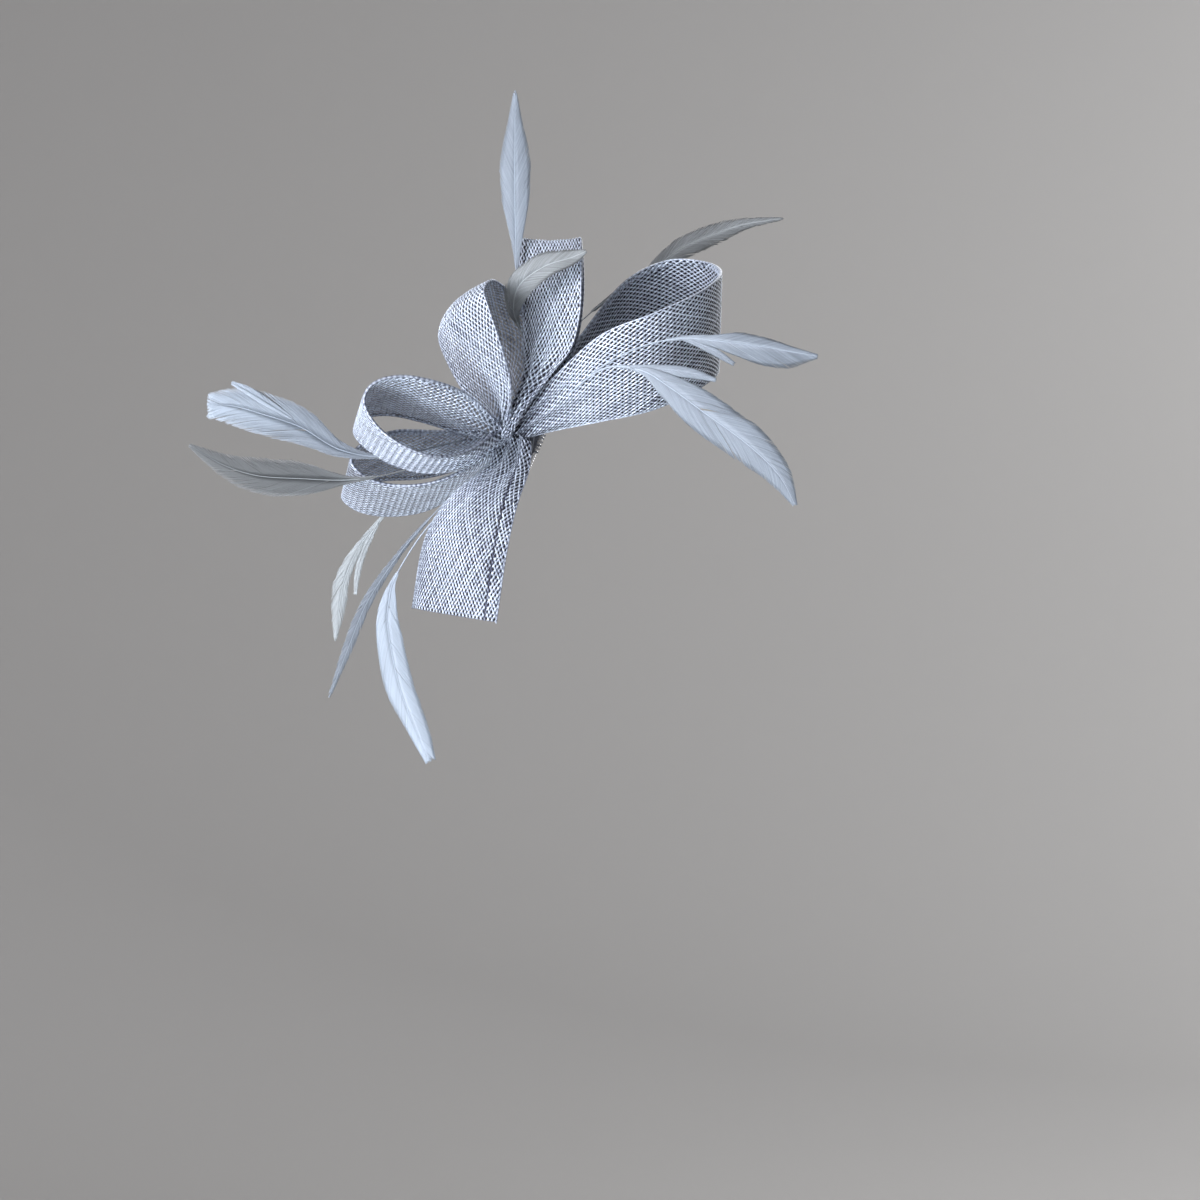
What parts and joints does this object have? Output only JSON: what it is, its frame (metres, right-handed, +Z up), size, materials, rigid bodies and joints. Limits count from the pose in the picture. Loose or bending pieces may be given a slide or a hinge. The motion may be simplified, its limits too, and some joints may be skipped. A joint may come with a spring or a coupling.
{
  "type": "fascinator",
  "caption": "Side-worn fascinator: a bow of woven silver-blue ribbon loops and a cut tail, dressed with slender stripped feathers, on a wire comb that pins into the hair.",
  "frame": {"origin": "middle of the comb's spine, where the bow pins on at the side of the head", "axes": "+Z up, -Y the way the wearer faces, -X outwards on the wearer's right, as worn"},
  "size_m": [0.2251, 0.0995, 0.2444],
  "materials": {
    "woven_ribbon": "open bias weave of stiff metallic yarn",
    "dyed_feather": "soft, matt, fine barbs",
    "sewn_cloth": "gathered cloth wound with thread",
    "comb_wire": "bright drawn wire"
  },
  "bodies": {
    "root": {"comb": "comb_wire", "stitched_knot": "sewn_cloth", "loop_left_front": "woven_ribbon", "loop_left_back": "woven_ribbon", "loop_up_left": "woven_ribbon", "loop_up": "woven_ribbon", "loop_right": "woven_ribbon", "tail_down": "woven_ribbon", "feather_top": "dyed_feather", "feather_front": "dyed_feather", "feather_right_top": "dyed_feather", "feather_right_mid": "dyed_feather", "feather_right_low": "dyed_feather", "feather_left_up": "dyed_feather", "feather_left_low": "dyed_feather", "feather_down_left": "dyed_feather", "feather_down_mid": "dyed_feather", "feather_down_right": "dyed_feather"}
  },
  "joints": []
}
